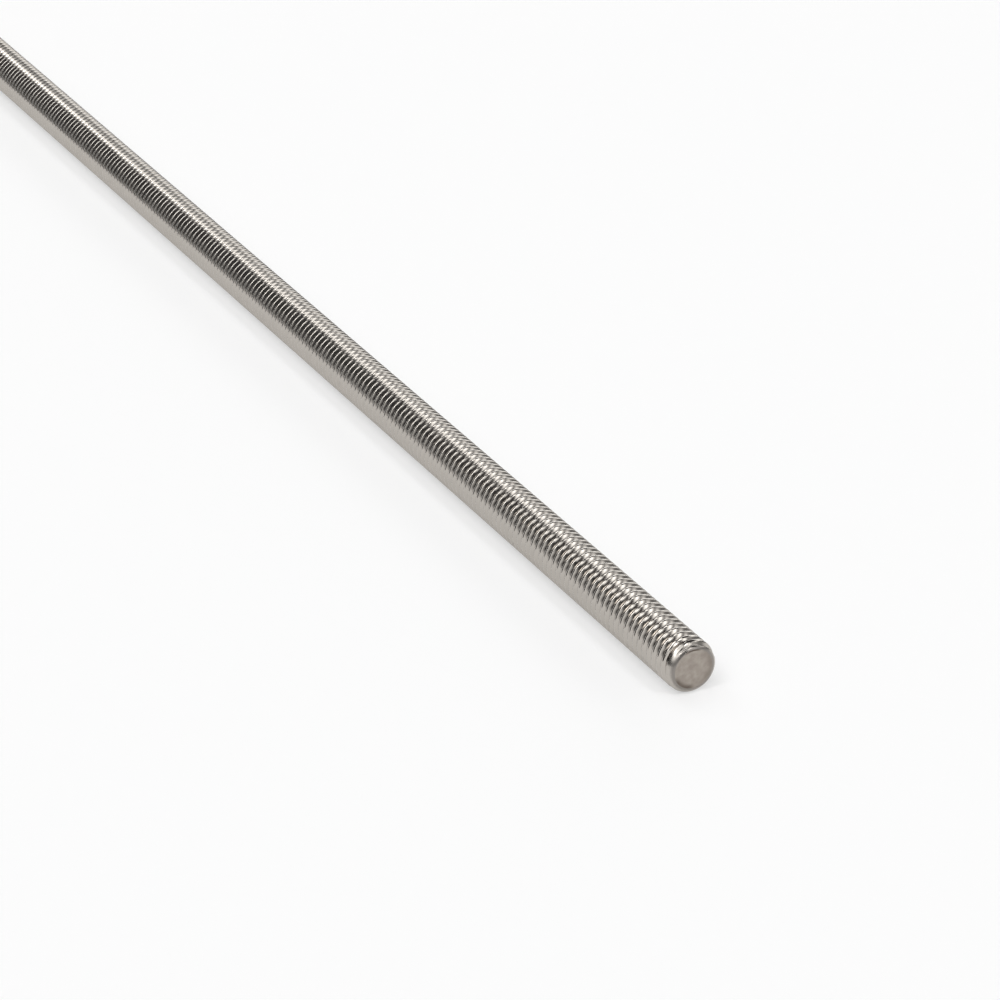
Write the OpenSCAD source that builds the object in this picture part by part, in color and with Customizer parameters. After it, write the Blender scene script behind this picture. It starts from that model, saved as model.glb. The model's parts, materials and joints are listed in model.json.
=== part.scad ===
// Threaded rod: a straight steel bar with an ISO metric coarse thread rolled
// into it over the whole length, right-hand, and a rounded edge on each end.
//
// It is one solid piece. Its axis lies along X and the middle of the axis is
// the origin. The thread is too fine to be cut into the solid, so the bar has
// the thread's outer (major) diameter, and the rounding of each end runs in
// past the root of the thread, as it does on the real rod.

/* [Rod] */
// Length from end face to end face
rod_length = 250; // [50:10:1000]

/* [Thread] */
// Nominal size of the thread
thread_size = "M6"; // [M4, M5, M6, M8, M10, M12]

/* [Ends] */
// Radius of the rounded edge, as a part of the pitch
edge_share = 0.7; // [0.65:0.05:0.9]

/* [Quality] */
// Sides on the round surfaces
round_sides = 96; // [32:8:160]

/* [Hidden] */
// ISO 261 coarse series: name, major diameter, pitch
COARSE_SERIES = [
    ["M4", 4, 0.7],
    ["M5", 5, 0.8],
    ["M6", 6, 1],
    ["M8", 8, 1.25],
    ["M10", 10, 1.5],
    ["M12", 12, 1.75],
];
SIZE_ROW = COARSE_SERIES[search([thread_size], COARSE_SERIES)[0]];
major_r = SIZE_ROW[1] / 2;
pitch = SIZE_ROW[2];

// ISO 68-1: the sharp 60 degree triangle is 0.866 pitch high, and the rounded
// root of an outside thread lies 17/24 of that below the crest.
triangle_h = pitch * sqrt(3) / 2;
root_r = major_r - triangle_h * 17 / 24;

edge_r = edge_share * pitch;
face_r = major_r - edge_r;
full_length = rod_length - 2 * edge_r;
assert(face_r < root_r, "the end face has to lie inside the root of the thread");

STEEL = [0.72, 0.71, 0.69];

// Half of the rod's lengthwise section, drawn beside the axis: the core runs
// to the end faces, the thread's outer cylinder stops short of them, and a
// circle in each corner makes the rounded edge.
module half_section() {
    translate([0, -rod_length / 2])
        square([face_r, rod_length]);
    translate([0, -full_length / 2])
        square([major_r, full_length]);
    for (end = [-1, 1])
        translate([face_r, end * full_length / 2])
            circle(r = edge_r, $fn = round_sides);
}

// The rod: its half section turned about the axis and laid along X
module threaded_rod() {
    color(STEEL)
        rotate([0, 90, 0])
            rotate_extrude($fn = round_sides)
                half_section();
}

threaded_rod();
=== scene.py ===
"""Threaded rod: a right-hand M6 coarse thread rolled into a bright stainless steel bar, sawn off
and rubbed round at each end. The rod lies level along X, and its axis passes through the origin."""
import json
import math

import bpy
import numpy as np
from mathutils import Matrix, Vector


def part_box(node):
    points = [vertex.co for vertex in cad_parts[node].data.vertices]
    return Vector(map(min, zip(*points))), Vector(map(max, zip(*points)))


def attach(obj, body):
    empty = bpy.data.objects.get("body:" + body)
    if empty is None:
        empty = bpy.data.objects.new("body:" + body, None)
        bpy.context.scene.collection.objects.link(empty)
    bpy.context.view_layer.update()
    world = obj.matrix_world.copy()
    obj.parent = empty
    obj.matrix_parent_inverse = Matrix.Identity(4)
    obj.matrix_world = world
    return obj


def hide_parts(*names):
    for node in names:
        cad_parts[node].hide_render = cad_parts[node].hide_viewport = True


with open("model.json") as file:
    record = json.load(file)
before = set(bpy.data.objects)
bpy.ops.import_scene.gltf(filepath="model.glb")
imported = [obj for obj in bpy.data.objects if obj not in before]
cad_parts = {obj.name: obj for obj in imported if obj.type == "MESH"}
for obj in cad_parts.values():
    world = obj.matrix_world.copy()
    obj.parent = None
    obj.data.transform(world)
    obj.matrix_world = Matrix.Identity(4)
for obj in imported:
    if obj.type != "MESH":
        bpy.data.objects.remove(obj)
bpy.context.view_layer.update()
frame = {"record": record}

MM = 0.001

# ---------------------------------------------------------------- sizes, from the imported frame

NODE = "threaded_rod"
thread = next(mount for mount in frame["record"]["mounts"] if mount["name"] == "thread")
node_low, node_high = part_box(NODE)
HALF_LENGTH = (node_high.x - node_low.x) / 2

# Class 6g leaves an outside thread a little slack in its nut: the crests stand half the
# allowance below the nominal radius.
PITCH = 1.0 * MM
ALLOWANCE = 0.026 * MM
CREST_R = thread["dims"]["r_mm"] * MM - ALLOWANCE / 2

# ISO 68-1 profile of an outside thread, in pitches. The flanks stand 60 degrees from the axis,
# and the root is an arc that meets both flanks smoothly. The dies of cheap rod don't fill the
# crests: they are a fifth of a pitch wide, not an eighth, and the groove is that much shallower.
TRIANGLE_H = math.sqrt(3) / 2
FLANK_SLOPE = math.sqrt(3)
HALF_CREST = 0.10
FULL_HALF_CREST = 1 / 16
ROOT_ARC = TRIANGLE_H / 6
ROOT_HALF = ROOT_ARC * math.cos(math.radians(30))
THREAD_DEPTH = TRIANGLE_H * 17 / 24 - (HALF_CREST - FULL_HALF_CREST) * FLANK_SLOPE
ROOT_R = CREST_R - THREAD_DEPTH * PITCH
# Where the middle of a crest lies on the +Y side, in pitches from the middle of the rod.
THREAD_START = -0.10

# Rows of the mesh across one pitch, in pitches from the middle of a crest: both edges of the
# crest, a row close below each, the ends of the flanks, and the bottom and sides of the root.
CREST_EDGE_ROW = 0.025
ROWS = np.array([
    -HALF_CREST,
    HALF_CREST,
    HALF_CREST + CREST_EDGE_ROW,
    0.5 - ROOT_HALF,
    0.5 - ROOT_HALF / 2,
    0.5,
    0.5 + ROOT_HALF / 2,
    0.5 + ROOT_HALF,
    1 - HALF_CREST - CREST_EDGE_ROW,
])
STEPS_ROUND = 40

# The last stretch at each end is a finer grid of plain rings, with FINE steps for each of the
# body's. A point of the body that comes within SLIVER of its end is drawn back to the end.
BODY_HALF = HALF_LENGTH - 2.15 * MM
SLIVER = 0.01 * MM
FINE = 3
FIRST_RING = 0.05 * MM
STRAIGHT_RINGS = 19
EDGE_RINGS = 16
FACE_RINGS = np.array([0.96, 0.88, 0.7, 0.45, 0.2])

# The edge of each end is rubbed off by hand, more on one side than on the other. Its curve is a
# superellipse, nearly a chamfer on the rubbed side (a power of 1.2) and round on the other (2.2).
EDGE_LONG = 0.95 * MM
EDGE_TALL = 0.80 * MM
FACE_R = CREST_R - EDGE_TALL
EDGE_UNEVEN = 0.20
EDGE_CURVE = 1.7
EDGE_CURVE_SWING = 0.5
RUBBED_SIDE = {1: math.radians(132), -1: math.radians(70)}
THREAD_FADE = 0.4 * MM
FACE_DOME = 0.03 * MM

# Rolling leaves the surface a few thousandths of a millimetre out of true. Each wave has its
# length along the rod in millimetres, its whole number of turns round it, and its start.
RIPPLE = 0.006 * MM
RIPPLE_WAVES = ((3.1, 2, 0.3), (1.7, -3, 1.9), (5.3, 1, 4.0), (0.83, 5, 2.2))


# ---------------------------------------------------------------- the rod's surface

def groove_depth(across):
    """Depth of the thread below its crests, in pitches, at a place across the pitch.

    With a the distance from the nearest crest's middle: 0 on the crest, then a straight flank
    of slope tan 60, then an arc of radius H/6 about a centre above the bottom of the root."""
    a = np.abs((across + 0.5) % 1 - 0.5)
    flank = (a - HALF_CREST) * FLANK_SLOPE
    from_root = np.minimum(0.5 - a, ROOT_HALF)
    root = THREAD_DEPTH - ROOT_ARC + np.sqrt(ROOT_ARC**2 - from_root**2)
    return np.where(a < HALF_CREST, 0.0, np.where(a < 0.5 - ROOT_HALF, flank, root))


def ripple(x, angle):
    """How far the surface lies below its true place, from 0 to RIPPLE: the mean of the sine
    waves, each of which winds round the rod as it runs along it."""
    waves = [np.sin(2 * math.pi * x / (length * MM) + count * angle + shift)
             for length, count, shift in RIPPLE_WAVES]
    return RIPPLE * (1 + sum(waves) / len(waves)) / 2


def thread_radius(x, angle, keep=1.0):
    """Radius of the thread's surface at x along the rod and an angle round it, with keep the
    share of the groove's depth that is left. A right-hand thread: x / PITCH - angle / 2 pi is
    the same all along one crest."""
    across = x / PITCH - angle / (2 * math.pi) - THREAD_START
    return CREST_R - groove_depth(across) * PITCH * keep - ripple(x, angle)


def on_circle(x, r, angle):
    """Points at x along the rod and at radius r, at an angle from +Y towards +Z."""
    return np.stack(np.broadcast_arrays(x, r * np.cos(angle), r * np.sin(angle)), axis=-1)


def body_grid():
    """The rod between its two ends, as a grid of helical rows.

    A row keeps its place across the pitch, so at angle t round the axis it lies at
    x = row + PITCH * t / 2 pi. What would run past an end of the body is drawn back to it.
    Returns places (row, step, xyz), the angle of each step, and a mask of what was drawn back."""
    turns = math.ceil(BODY_HALF / PITCH) + 1
    starts = (np.arange(-turns - 1, turns)[:, None] + ROWS[None, :]).ravel() + THREAD_START
    angles = np.linspace(0, 2 * math.pi, STEPS_ROUND + 1)
    x = PITCH * (starts[:, None] + angles[None, :] / (2 * math.pi))
    past = np.abs(x) > BODY_HALF - SLIVER
    x = np.where(past, np.sign(x) * BODY_HALF, x)
    return on_circle(x, thread_radius(x, angles), angles), angles, past


def end_grid(end):
    """One end of the rod, as rings: the last of the thread, the rubbed edge, and the face.

    The edge is a quarter of a superellipse, |a|^n + |b|^n = 1, from the crests' cylinder to the
    face. Its size and its n swing once round the rod, so that one side is rubbed flatter, like
    a chamfer, and the other stays rounder. The groove grows shallow towards the face, and the
    face is a very flat dome: x = HALF_LENGTH - FACE_DOME * (r / face radius)^2.
    Returns places (ring, step, xyz), the angle of each step, and how many of the last rings
    belong to the face."""
    angles = np.linspace(0, 2 * math.pi, STEPS_ROUND * FINE + 1)
    swing = np.cos(angles - RUBBED_SIDE[end])
    size = 1 - EDGE_UNEVEN * (1 - swing) / 2
    long, tall = EDGE_LONG * size, EDGE_TALL * size
    power = 2 / (EDGE_CURVE - EDGE_CURVE_SWING * swing)
    first = BODY_HALF + FIRST_RING
    share = np.linspace(0, 1, STRAIGHT_RINGS, endpoint=False)[:, None]
    straight_x = first + share * (HALF_LENGTH - long - first)
    turn = np.linspace(0, math.pi / 2, EDGE_RINGS)[:, None]
    edge_x = HALF_LENGTH - long + (long - FACE_DOME) * np.sin(turn)**power
    edge_r = CREST_R - tall + tall * np.clip(np.cos(turn), 0, 1)**power
    x = np.concatenate([straight_x, edge_x])
    limit = np.concatenate([np.full_like(straight_x, CREST_R), edge_r])
    keep = np.clip((HALF_LENGTH - x) / THREAD_FADE, 0, 1)
    keep = keep * keep * (3 - 2 * keep)
    r = np.minimum(thread_radius(end * x, angles[None, :], keep), limit)
    share = FACE_RINGS[:, None]
    face_r = share * r[-1:]
    face_x = HALF_LENGTH - FACE_DOME * share**2 + np.zeros_like(face_r)
    x = np.concatenate([x, face_x])
    r = np.concatenate([r, face_r])
    return on_circle(end * x, r, angles), angles, len(share) + 1


def quads(number, angles):
    """The triangles of a grid of point numbers, two to a cell, and the angle of each corner."""
    a, b, c, d = number[:-1, :-1], number[:-1, 1:], number[1:, 1:], number[1:, :-1]
    near = np.broadcast_to(angles[:-1], a.shape)
    far = np.broadcast_to(angles[1:], a.shape)
    corners = np.concatenate([
        np.stack([a, b, c], -1).reshape(-1, 3),
        np.stack([a, c, d], -1).reshape(-1, 3)])
    turned = np.concatenate([
        np.stack([near, far, far], -1).reshape(-1, 3),
        np.stack([near, far, near], -1).reshape(-1, 3)])
    return corners, turned


def fan(coarse, fine, angles):
    """Joins the body's last ring to the first ring of an end, which has three steps for each of
    the body's, with four triangles on each of the body's steps. Returns them, and the angle of
    each corner."""
    steps = len(fine) - 1
    c0, c1 = coarse[:-1], coarse[1:]
    f0, f1, f2, f3 = (fine[k:steps - FINE + k + 1:FINE] for k in range(FINE + 1))
    t0, t1, t2, t3 = (angles[k:steps - FINE + k + 1:FINE] for k in range(FINE + 1))
    corners = [(f0, c0, f1), (c0, c1, f1), (c1, f2, f1), (c1, f3, f2)]
    turned = [(t0, t0, t1), (t0, t3, t1), (t3, t2, t1), (t3, t3, t2)]
    return (np.concatenate([np.stack(three, 1) for three in corners]),
            np.concatenate([np.stack(three, 1) for three in turned]))


def end_part(end, coarse, count):
    """One end of the rod, joined to the body's last ring, whose points have the numbers coarse.

    Its own points are numbered from count on, ring by ring, and the last one is the middle of
    the face. Returns them, and a list of (triangles, angles of their corners, which face)."""
    places, angles, face_rings = end_grid(end)
    rings, steps = places.shape[0], places.shape[1] - 1
    number = count + np.arange(rings)[:, None] * steps + np.arange(steps + 1)[None, :] % steps
    centre = count + rings * steps
    points = np.concatenate([places[:, :-1].reshape(-1, 3), [[end * HALF_LENGTH, 0.0, 0.0]]])
    last = number[-1]
    tip = np.stack([last[:-1], last[1:], np.full(steps, centre)], 1)
    tip_turned = np.stack([angles[:-1], angles[1:], angles[:-1]], 1)
    pieces = [
        (*fan(coarse, number[0], angles), 0),
        (*quads(number[:rings - face_rings + 1], angles), 0),
        (*quads(number[rings - face_rings:], angles), end),
        (tip, tip_turned, end)]
    # the end at -X is a mirror image, so its corners run the other way round
    order = slice(None, None, end)
    return points, [(corners[:, order], turned[:, order], np.full(len(corners), which))
                    for corners, turned, which in pieces]


def rod_mesh():
    """Joins the body and both ends into one closed mesh.

    Returns the points, the triangles, the angle round the rod at each corner, and for each
    triangle 0 on the rod's side or 1 or -1 on the face at that end."""
    places, angles, past = body_grid()
    rows, columns = places.shape[0], STEPS_ROUND
    number = np.arange(rows * columns).reshape(rows, columns)
    # where the angle has come round, a row goes on as the row one pitch further along
    wrapped = np.full((rows, 1), -1)
    wrapped[:-len(ROWS), 0] = number[len(ROWS):, 0]
    number = np.hstack([number, wrapped])
    # what was drawn back to an end of the body is a point of the ring there
    count = rows * columns
    ring = count + np.arange(columns + 1) % columns
    number = np.where(past, np.where(places[:, :, 0] > 0, ring + columns, ring), number)
    points = [places[:, :-1].reshape(-1, 3)]
    for end in (-1, 1):
        x = end * BODY_HALF
        points.append(on_circle(x, thread_radius(x, angles[:-1]), angles[:-1]))
    count += 2 * columns
    corners, turned = quads(number, angles)
    parts = [(corners, turned, np.zeros(len(corners)))]
    for end, coarse in ((-1, ring), (1, ring + columns)):
        end_points, end_parts = end_part(end, coarse, count)
        points.append(end_points)
        parts += end_parts
        count += len(end_points)
    triangles, turned, face = (np.concatenate(column) for column in zip(*parts))
    # cells whose corners were drawn back to one point have no area, and go
    a, b, c = triangles.T
    good = (a != b) & (b != c) & (c != a) & (triangles.min(1) >= 0)
    used, kept = np.unique(triangles[good], return_inverse=True)
    return np.concatenate(points)[used], kept.reshape(-1, 3), turned[good], face[good].astype(int)


# The flat layout for baking: the side in strips that lie above one another, each as long as a
# quarter of the rod, and beside them both faces, enlarged.
STRIPS = 4
GAP = 0.8 * MM
FACE_SCALE = 2.6


def flat_layout(points, triangles, turned, face):
    """Each corner's place on the unit square: along the rod and round it, in true proportion."""
    strip_length = 2 * HALF_LENGTH / STRIPS
    round_length = 2 * math.pi * CREST_R
    square = STRIPS * (round_length + GAP)
    corner = points[triangles]
    strip = np.clip((corner[:, :, 0].mean(1) + HALF_LENGTH) // strip_length, 0, STRIPS - 1)
    u = corner[:, :, 0] + HALF_LENGTH - strip[:, None] * strip_length + GAP / 2
    v = turned * CREST_R + strip[:, None] * (round_length + GAP) + GAP / 2
    reach = FACE_SCALE * CREST_R
    middle_v = reach + GAP + (face[:, None] > 0) * (2 * reach + GAP)
    on_face = face[:, None] != 0
    u = np.where(on_face, FACE_SCALE * corner[:, :, 1] + strip_length + 2 * GAP + reach, u)
    v = np.where(on_face, FACE_SCALE * corner[:, :, 2] + middle_v, v)
    return np.stack([u, v], -1) / square


def new_mesh_object(name, points, triangles, layout, slots):
    """A smooth mesh of triangles, with its flat layout and each triangle's material slot."""
    mesh = bpy.data.meshes.new(name)
    mesh.vertices.add(len(points))
    mesh.vertices.foreach_set("co", points.astype(np.float32).ravel())
    mesh.loops.add(triangles.size)
    mesh.loops.foreach_set("vertex_index", triangles.astype(np.int32).ravel())
    mesh.polygons.add(len(triangles))
    mesh.polygons.foreach_set("loop_start", np.arange(0, triangles.size, 3, dtype=np.int32))
    mesh.polygons.foreach_set("use_smooth", np.ones(len(triangles), dtype=bool))
    mesh.polygons.foreach_set("material_index", slots.astype(np.int32))
    mesh.update(calc_edges=True)
    mesh.uv_layers.new(name="OFBake").data.foreach_set("uv", layout.astype(np.float32).ravel())
    piece = bpy.data.objects.new(name, mesh)
    bpy.context.scene.collection.objects.link(piece)
    return piece


points, triangles, turned, face = rod_mesh()
layout = flat_layout(points, triangles, turned, face)
rod = new_mesh_object("rolled_rod", points, triangles, layout, face != 0)

# ---------------------------------------------------------------- materials

def linear(hex_code):
    """An sRGB hex colour as linear RGBA."""
    channels = [int(hex_code[i:i + 2], 16) / 255 for i in (0, 2, 4)]
    out = [v / 12.92 if v <= 0.04045 else ((v + 0.055) / 1.055) ** 2.4 for v in channels]
    return (*out, 1.0)


def new_material(name):
    material = bpy.data.materials.new(name)
    material.use_nodes = True
    material.node_tree.nodes.clear()
    return material, material.node_tree


def add(tree, kind, links=None, values=None, **settings):
    """Adds a node: links and values fill its inputs, and settings are its own choices."""
    node = tree.nodes.new(kind)
    for key, choice in settings.items():
        setattr(node, key, choice)
    for key, value in (values or {}).items():
        node.inputs[key].default_value = value
    for key, output in (links or {}).items():
        tree.links.new(output, node.inputs[key])
    return node


def place_on_rod(tree):
    """The place on the piece, its part square to the axis, and its distance from the axis."""
    place = add(tree, "ShaderNodeTexCoord").outputs["Object"]
    across = add(tree, "ShaderNodeVectorMath", {0: place}, {1: (0, 1, 1)},
                 operation="MULTIPLY").outputs[0]
    radius = add(tree, "ShaderNodeVectorMath", {0: across}, operation="LENGTH").outputs["Value"]
    return place, across, radius


# Dark brown smears where the rubbed edge meets the face: each smear's middle as an angle round
# the rod from +Y, how far it reaches to each side, both in degrees, its inner radius, and how dark.
# From its full darkness, a third of the way out, it fades to nothing at its reach.
SMEARS = (
    (93, 30, 2.04 * MM, 1.0),
    (236, 46, 1.62 * MM, 0.85),
    (-4, 75, 1.50 * MM, 0.40),
)
FULL_SMEAR = 1 / 3
SMEAR_BROWN = "5B5047"


def smear_share_at(tree, across, radius):
    """The share of dark brown smear: the most that any smear has there. A smear is the product of
    two soft steps, one in the angle from its middle and one in the radius, out to the edge of the
    face."""
    outward = add(tree, "ShaderNodeVectorMath", {0: across}, operation="NORMALIZE").outputs[0]
    most = None
    for middle, reach, inner, darkness in SMEARS:
        angle = math.radians(middle)
        along = add(tree, "ShaderNodeVectorMath", {0: outward},
                    {1: (0, math.cos(angle), math.sin(angle))}, operation="DOT_PRODUCT")
        side = add(tree, "ShaderNodeMapRange", {"Value": along.outputs["Value"]},
                   {"From Min": math.cos(math.radians(reach)),
                    "From Max": math.cos(math.radians(reach * FULL_SMEAR)),
                    "To Max": darkness}, interpolation_type="SMOOTHSTEP").outputs[0]
        ring = add(tree, "ShaderNodeMapRange", {"Value": radius},
                   {"From Min": inner, "From Max": FACE_R},
                   interpolation_type="SMOOTHSTEP").outputs[0]
        smear = add(tree, "ShaderNodeMath", {0: side, 1: ring}, operation="MULTIPLY").outputs[0]
        if most is None:
            most = smear
        else:
            most = add(tree, "ShaderNodeMath", {0: smear, 1: most}, operation="MAXIMUM").outputs[0]
    return most


# Stainless steel, thread rolled: the dies press the metal bright, with fine rings where they slid
# over it, and leave it in blotches a shade duller. The roots are duller, and their colour is
# darker still with painted shade in the grooves, partly residual oil. Close to each end the metal
# was gone over with abrasive, so it is matter there, and grained, and a little of the dark brown
# smears at the face's edge comes round onto it. The grain stands GRAIN_HEIGHT times as high as
# the rings. The real rings are a few hundredths of a millimetre apart: RING_PITCH draws them as
# coarse as they need to be to show. Here and on the face, a RANGE is the part of a pattern's
# values over which what it drives goes from one end to the other.
BRIGHT_STEEL = "C0BAB3"
DULL_STEEL = "B3AEA7"
# The roots' colour: painted shade in the grooves, partly residual oil.
ROOT_OIL_AND_SHADE = "928D88"
MOTTLE = 1.6 * MM
MOTTLE_RANGE = (0.3, 0.7)
ROLLED_ROUGH = (0.09, 0.15)
ROOT_ROUGHER = 0.08
ROOT_FROM = CREST_R - 0.25 * MM
SMEAR_UP = 0.14 * MM
WORN_FROM = HALF_LENGTH - 0.9 * MM
WORN_TO = HALF_LENGTH - 0.5 * MM
WORN_ROUGHER = 0.10
GRAIN = 0.35 * MM
GRAIN_HEIGHT = 6.0
RING_PITCH = 0.10 * MM
RING_LENGTH = 2.5 * MM
RING_HEIGHT = 0.004 * MM
RING_BUMP = 0.25


def rolled_steel():
    """The rod's side, from crest to root and round the rubbed edges."""
    material, tree = new_material("rolled_stainless_steel")
    place, across, radius = place_on_rod(tree)
    depth = add(tree, "ShaderNodeMapRange", {"Value": radius},
                {"From Min": ROOT_FROM, "From Max": ROOT_R},
                interpolation_type="SMOOTHSTEP").outputs[0]
    mottle = add(tree, "ShaderNodeTexNoise", {"Vector": place},
                 {"Scale": 1 / MOTTLE, "Detail": 3.0, "Roughness": 0.6}).outputs[0]
    from_middle = add(tree, "ShaderNodeSeparateXYZ", {0: place}).outputs["X"]
    from_middle = add(tree, "ShaderNodeMath", {0: from_middle}, operation="ABSOLUTE").outputs[0]
    worn = add(tree, "ShaderNodeMapRange", {"Value": from_middle},
               {"From Min": WORN_FROM, "From Max": WORN_TO},
               interpolation_type="SMOOTHSTEP").outputs[0]

    pressed = add(tree, "ShaderNodeMix", {0: mottle},
                  {6: linear(DULL_STEEL), 7: linear(BRIGHT_STEEL)}, data_type="RGBA").outputs[2]
    # The roots' darker colour is painted shade in the grooves, partly residual oil.
    with_root_shade = add(tree, "ShaderNodeMix", {0: depth, 6: pressed}, {7: linear(ROOT_OIL_AND_SHADE)},
                   data_type="RGBA").outputs[2]
    near_face = add(tree, "ShaderNodeMapRange", {"Value": radius},
                    {"From Min": FACE_R + SMEAR_UP, "From Max": FACE_R},
                    interpolation_type="SMOOTHSTEP").outputs[0]
    smeared = add(tree, "ShaderNodeMath", {0: near_face, 1: smear_share_at(tree, across, radius)},
               operation="MULTIPLY").outputs[0]
    colour = add(tree, "ShaderNodeMix", {0: smeared, 6: with_root_shade}, {7: linear(SMEAR_BROWN)},
                 data_type="RGBA").outputs[2]

    rough = add(tree, "ShaderNodeMapRange", {"Value": mottle},
                {"From Min": MOTTLE_RANGE[0], "From Max": MOTTLE_RANGE[1],
                 "To Min": ROLLED_ROUGH[0], "To Max": ROLLED_ROUGH[1]}).outputs[0]
    rough = add(tree, "ShaderNodeMath", {0: depth, 2: rough}, {1: ROOT_ROUGHER},
                operation="MULTIPLY_ADD").outputs[0]
    rough = add(tree, "ShaderNodeMath", {0: worn, 2: rough}, {1: WORN_ROUGHER},
                operation="MULTIPLY_ADD").outputs[0]

    ringed = add(tree, "ShaderNodeVectorMath", {0: place},
                 {1: (1 / RING_PITCH, 1 / RING_LENGTH, 1 / RING_LENGTH)}, operation="MULTIPLY")
    rings = add(tree, "ShaderNodeTexNoise", {"Vector": ringed.outputs[0]},
                {"Scale": 1.0, "Detail": 2.0}).outputs[0]
    grain = add(tree, "ShaderNodeTexNoise", {"Vector": place},
                {"Scale": 1 / GRAIN, "Detail": 2.0}).outputs[0]
    grain = add(tree, "ShaderNodeMath", {0: grain, 1: worn}, operation="MULTIPLY").outputs[0]
    height = add(tree, "ShaderNodeMath", {0: grain, 2: rings}, {1: GRAIN_HEIGHT},
                 operation="MULTIPLY_ADD").outputs[0]
    bump = add(tree, "ShaderNodeBump", {"Height": height},
               {"Strength": RING_BUMP, "Distance": RING_HEIGHT}).outputs[0]

    shader = add(tree, "ShaderNodeBsdfPrincipled",
                 {"Base Color": colour, "Roughness": rough, "Normal": bump}, {"Metallic": 1.0})
    add(tree, "ShaderNodeOutputMaterial", {"Surface": shader.outputs[0]})
    return material


# The same steel, sawn through: matt, blotched, with the faint parallel lines of the saw, and
# dark brown smears at its edge. The real lines are finer: SAW_PITCH draws them to show.
SAWN_GREY = "AFA79E"
SAWN_DARK = "9D948C"
BLOTCH = 0.9 * MM
BLOTCH_RANGE = (0.35, 0.65)
SMEAR_RANGE = (0.3, 0.6)
SMEAR_KEPT = (0.55, 1.0)
SAW_ANGLE = math.radians(28)
SAW_PITCH = 0.16 * MM
SAW_LENGTH = 2.4 * MM
SAW_RANGE = (0.3, 0.7)
SAWN_ROUGH = (0.36, 0.50)
SAW_DEPTH = 0.02 * MM
SAW_BUMP = 0.5


def sawn_steel():
    """The face at each end."""
    material, tree = new_material("sawn_stainless_steel")
    place, across, radius = place_on_rod(tree)
    blotch = add(tree, "ShaderNodeTexNoise", {"Vector": place},
                 {"Scale": 1 / BLOTCH, "Detail": 4.0, "Roughness": 0.55}).outputs[0]
    sawn = add(tree, "ShaderNodeMapping", {"Vector": place},
               {"Rotation": (SAW_ANGLE, 0, 0), "Scale": (SAW_LENGTH, SAW_LENGTH, SAW_PITCH)},
               vector_type="TEXTURE").outputs[0]
    lines = add(tree, "ShaderNodeTexNoise", {"Vector": sawn}, {"Scale": 1.0, "Detail": 2.0}).outputs[0]

    shade = add(tree, "ShaderNodeMapRange", {"Value": blotch},
                {"From Min": BLOTCH_RANGE[0], "From Max": BLOTCH_RANGE[1]}).outputs[0]
    blotched = add(tree, "ShaderNodeMix", {0: shade},
                   {6: linear(SAWN_DARK), 7: linear(SAWN_GREY)}, data_type="RGBA").outputs[2]
    uneven = add(tree, "ShaderNodeMapRange", {"Value": blotch},
                 {"From Min": SMEAR_RANGE[0], "From Max": SMEAR_RANGE[1],
                  "To Min": SMEAR_KEPT[0], "To Max": SMEAR_KEPT[1]}).outputs[0]
    smeared = add(tree, "ShaderNodeMath", {0: smear_share_at(tree, across, radius), 1: uneven},
               operation="MULTIPLY").outputs[0]
    colour = add(tree, "ShaderNodeMix", {0: smeared, 6: blotched}, {7: linear(SMEAR_BROWN)},
                 data_type="RGBA").outputs[2]

    rough = add(tree, "ShaderNodeMapRange", {"Value": lines},
                {"From Min": SAW_RANGE[0], "From Max": SAW_RANGE[1],
                 "To Min": SAWN_ROUGH[0], "To Max": SAWN_ROUGH[1]}).outputs[0]
    height = add(tree, "ShaderNodeMath", {0: lines, 1: blotch}, operation="ADD").outputs[0]
    bump = add(tree, "ShaderNodeBump", {"Height": height},
               {"Strength": SAW_BUMP, "Distance": SAW_DEPTH}).outputs[0]

    shader = add(tree, "ShaderNodeBsdfPrincipled",
                 {"Base Color": colour, "Roughness": rough, "Normal": bump}, {"Metallic": 1.0})
    add(tree, "ShaderNodeOutputMaterial", {"Surface": shader.outputs[0]})
    return material


rod.data.materials.append(rolled_steel())
rod.data.materials.append(sawn_steel())

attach(rod, "root")
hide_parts(NODE)

# ---------------------------------------------------------------- floor

FLOOR_HALF = 2.0
floor_z = node_low.z
floor_mesh = bpy.data.meshes.new("floor")
floor_mesh.from_pydata(
    [(-FLOOR_HALF, -FLOOR_HALF, floor_z), (FLOOR_HALF, -FLOOR_HALF, floor_z),
     (FLOOR_HALF, FLOOR_HALF, floor_z), (-FLOOR_HALF, FLOOR_HALF, floor_z)],
    [], [(0, 1, 2, 3)])
floor = bpy.data.objects.new("floor", floor_mesh)
bpy.context.scene.collection.objects.link(floor)


def view_share(tree, seen, mirrored):
    """seen for what the camera sees straight, mirrored for what it sees in a mirror or through
    glass, and 0 for light."""
    ray = add(tree, "ShaderNodeLightPath").outputs
    straight = add(tree, "ShaderNodeMath", {0: ray["Is Camera Ray"]}, {1: seen},
                   operation="MULTIPLY").outputs[0]
    bent = add(tree, "ShaderNodeMath", {0: ray["Is Glossy Ray"], 1: ray["Is Transmission Ray"]},
               operation="MAXIMUM").outputs[0]
    bent = add(tree, "ShaderNodeMath", {0: bent}, {1: mirrored}, operation="MULTIPLY").outputs[0]
    return add(tree, "ShaderNodeMath", {0: straight, 1: bent}, operation="MAXIMUM").outputs[0]


# A white table, matt. Where it is seen, and less so where it is mirrored, a share of what shows is
# plain white, so that the table stays white under the rod's faint shadow. Its light on other
# things comes from its matt part alone.
FLOOR_WHITE = "F8F8F8"
SEEN_SHARE = 0.50
MIRRORED_SHARE = 0.25


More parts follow.
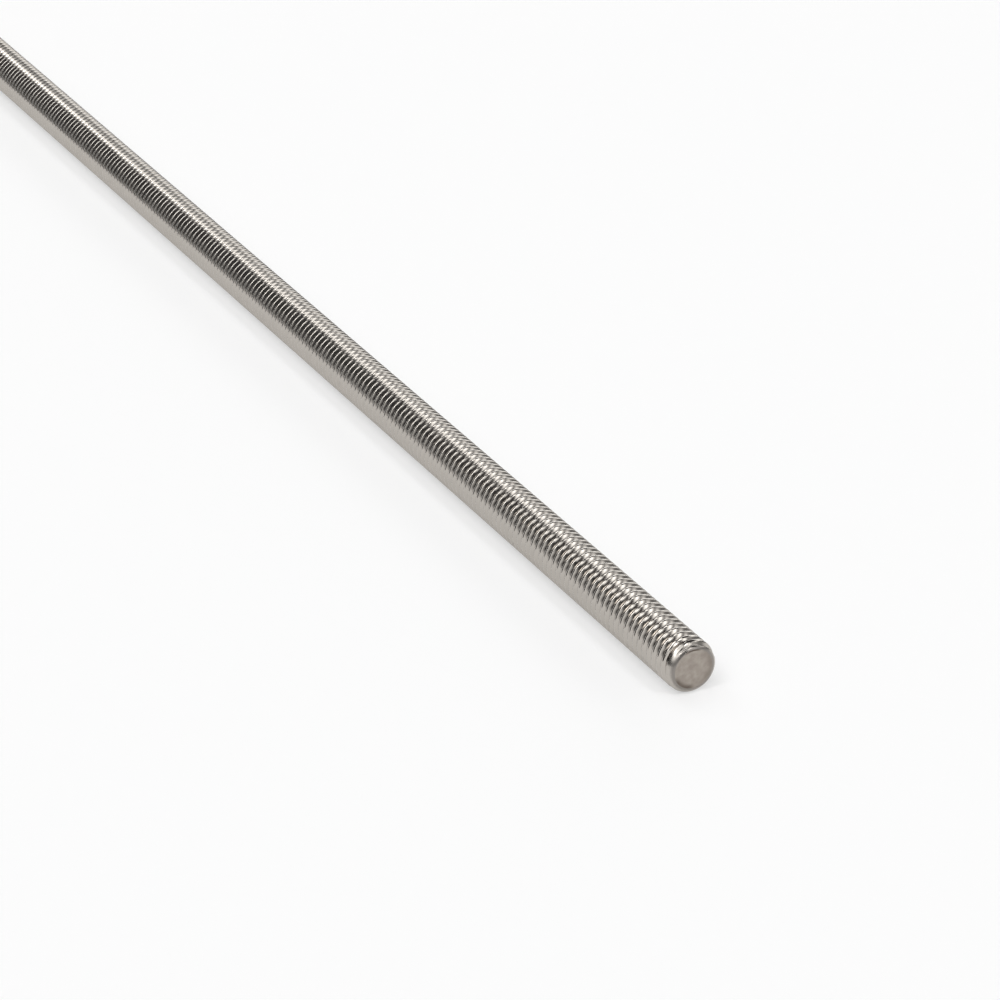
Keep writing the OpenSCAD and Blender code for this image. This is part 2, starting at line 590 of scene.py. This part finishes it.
def white_table():
    material, tree = new_material("white_table")
    matt = add(tree, "ShaderNodeBsdfDiffuse", values={"Color": linear(FLOOR_WHITE)}).outputs[0]
    plain = add(tree, "ShaderNodeEmission", values={"Strength": 1.0}).outputs[0]
    share = view_share(tree, SEEN_SHARE, MIRRORED_SHARE)
    shader = add(tree, "ShaderNodeMixShader", {0: share, 1: matt, 2: plain})
    add(tree, "ShaderNodeOutputMaterial", {"Surface": shader.outputs[0]})
    return material


floor.data.materials.append(white_table())

# ---------------------------------------------------------------- light

# The studio round the rod: soft boxes of white light in a dim room. Each stands at an azimuth
# from +X towards +Y and an elevation, reaches so far to each side of that and so far up and
# down, all in degrees, and fades out over SOFT degrees at its edges. The last number is its
# brightness, in the same measure as the colour of a white wall in plain light. Polished metal
# shows the gaps between the boxes as dark lines, and that is what makes a thread look crisp.
# The boxes' places and sizes were tried one by one. Which of them stayed, and how bright each is,
# comes from a least-squares fit to the tones round and along a real rod, rounded off.
SOFT = 6.0
SOFT_BOXES = (
    # along the camera's side, and over it
    (-80, 66, 9, 13, 6.20),
    (-80, 50, 9, 8, 5.30),
    (-50, 38, 12, 5, 3.20),
    (-50, 25, 8, 10, 2.30),
    (-45, 48, 25, 6, 1.50),
    (-90, 65, 75, 18, 1.15),
    # along the other side
    (93, 29, 43, 7, 1.70),
    (140, 10, 20, 10, 2.70),
    # beyond the far end
    (159, 66, 6, 16, 6.20),
    (-166, 42, 8, 6, 6.20),
    # beyond the near end, high up
    (20, 49, 6, 7, 6.20),
    (20, 58, 12, 12, 3.60),
    (24, 34, 4, 4, 1.90),
    (-15, 60, 12, 5, 1.80),
    (26, 40, 5, 5, 0.50),
    # beyond the near end, low down
    (6, 22, 6, 4, 5.30),
    (33, 27, 4, 6, 2.30),
    (30, 16, 4, 20, 1.40),
    (-17, 4, 8, 10, 0.80),
    (2, 6, 14, 10, 0.70),
    (-30, 0, 10, 6, 0.65),
    (48, 24, 6, 8, 0.60),
    (-15, 14, 8, 5, 0.50),
    (60, 15, 15, 12, 0.20),
)
# The brightness of the room between them, and of the pale backdrop, whose place and size are
# given as a box's are.
ROOM = 0.05
BACKDROP = 0.98
BACKDROP_PLACE = (95, -10, 62, 12)


def window(tree, angle, middle, reach):
    """1 where an angle is within reach of the middle, and 0 beyond it, with a soft step between.
    Angles are taken the short way round."""
    off = add(tree, "ShaderNodeMath", {0: angle}, {1: math.radians(middle)}, operation="SUBTRACT")
    off = add(tree, "ShaderNodeMath", {0: off.outputs[0]}, {1: math.pi, 2: -math.pi}, operation="WRAP")
    size = add(tree, "ShaderNodeMath", {0: off.outputs[0]}, operation="ABSOLUTE").outputs[0]
    return add(tree, "ShaderNodeMapRange", {"Value": size},
               {"From Min": math.radians(reach + SOFT), "From Max": math.radians(reach - SOFT)},
               interpolation_type="SMOOTHSTEP").outputs[0]


def studio():
    """The world: what lights the metal and the floor is the room and its soft boxes. The camera
    sees an even pale backdrop behind the floor, and so do mirrored and refracted rays in the
    place where it stands, low on the far side of the rod."""
    world = bpy.data.worlds.new("studio")
    world.use_nodes = True
    tree = world.node_tree
    tree.nodes.clear()
    toward = add(tree, "ShaderNodeTexCoord").outputs["Generated"]
    part = add(tree, "ShaderNodeSeparateXYZ", {0: toward}).outputs
    azimuth = add(tree, "ShaderNodeMath", {0: part["Y"], 1: part["X"]}, operation="ARCTAN2").outputs[0]
    elevation = add(tree, "ShaderNodeMath", {0: part["Z"]}, operation="ARCSINE").outputs[0]

    def rectangle(middle, height, sideways, upright):
        share = window(tree, azimuth, middle, sideways)
        upward = window(tree, elevation, height, upright)
        return add(tree, "ShaderNodeMath", {0: share, 1: upward}, operation="MULTIPLY").outputs[0]

    total = None
    for *place, brightness in SOFT_BOXES:
        lit = add(tree, "ShaderNodeMath", {0: rectangle(*place)}, {1: brightness, 2: ROOM},
                  operation="MULTIPLY_ADD")
        if total is not None:
            tree.links.new(total, lit.inputs[2])
        total = lit.outputs[0]
    shown = add(tree, "ShaderNodeMath", {0: rectangle(*BACKDROP_PLACE), 1: view_share(tree, 1.0, 1.0)},
                operation="MULTIPLY").outputs[0]
    total = add(tree, "ShaderNodeMath", {0: shown, 2: total}, {1: BACKDROP},
                operation="MULTIPLY_ADD").outputs[0]
    light = add(tree, "ShaderNodeBackground", {"Strength": total}, {"Color": (1, 1, 1, 1)}).outputs[0]
    pale = add(tree, "ShaderNodeBackground",
               values={"Color": (1, 1, 1, 1), "Strength": BACKDROP}).outputs[0]
    camera_ray = add(tree, "ShaderNodeLightPath").outputs["Is Camera Ray"]
    mixed = add(tree, "ShaderNodeMixShader", {0: camera_ray, 1: light, 2: pale})
    add(tree, "ShaderNodeOutputWorld", {"Surface": mixed.outputs[0]})
    return world


bpy.context.scene.world = studio()

# ---------------------------------------------------------------- camera

# The camera looks at a point on the rod's axis, not far from the near end. Its azimuth is from -Y
# towards +X, and the lens and the sensor are in millimetres.
CAMERA_AZIMUTH = math.radians(62.19)
CAMERA_ELEVATION = math.radians(27.43)
CAMERA_DISTANCE = 411.15 * MM
AIM_FROM_END = 43.4 * MM
FOCAL_LENGTH = 129.6
SENSOR_WIDTH = 36.0
CLIP_START = 10 * MM

camera_data = bpy.data.cameras.new("camera")
camera_data.lens = FOCAL_LENGTH
camera_data.sensor_width = SENSOR_WIDTH
camera_data.clip_start = CLIP_START
camera = bpy.data.objects.new("camera", camera_data)
bpy.context.scene.collection.objects.link(camera)
aim = Vector((HALF_LENGTH - AIM_FROM_END, 0, 0))
back = Vector((
    math.sin(CAMERA_AZIMUTH) * math.cos(CAMERA_ELEVATION),
    -math.cos(CAMERA_AZIMUTH) * math.cos(CAMERA_ELEVATION),
    math.sin(CAMERA_ELEVATION)))
camera.location = aim + back * CAMERA_DISTANCE
camera.rotation_euler = back.to_track_quat("Z", "Y").to_euler()
bpy.context.scene.camera = camera
bpy.context.scene.view_settings.view_transform = "Standard"
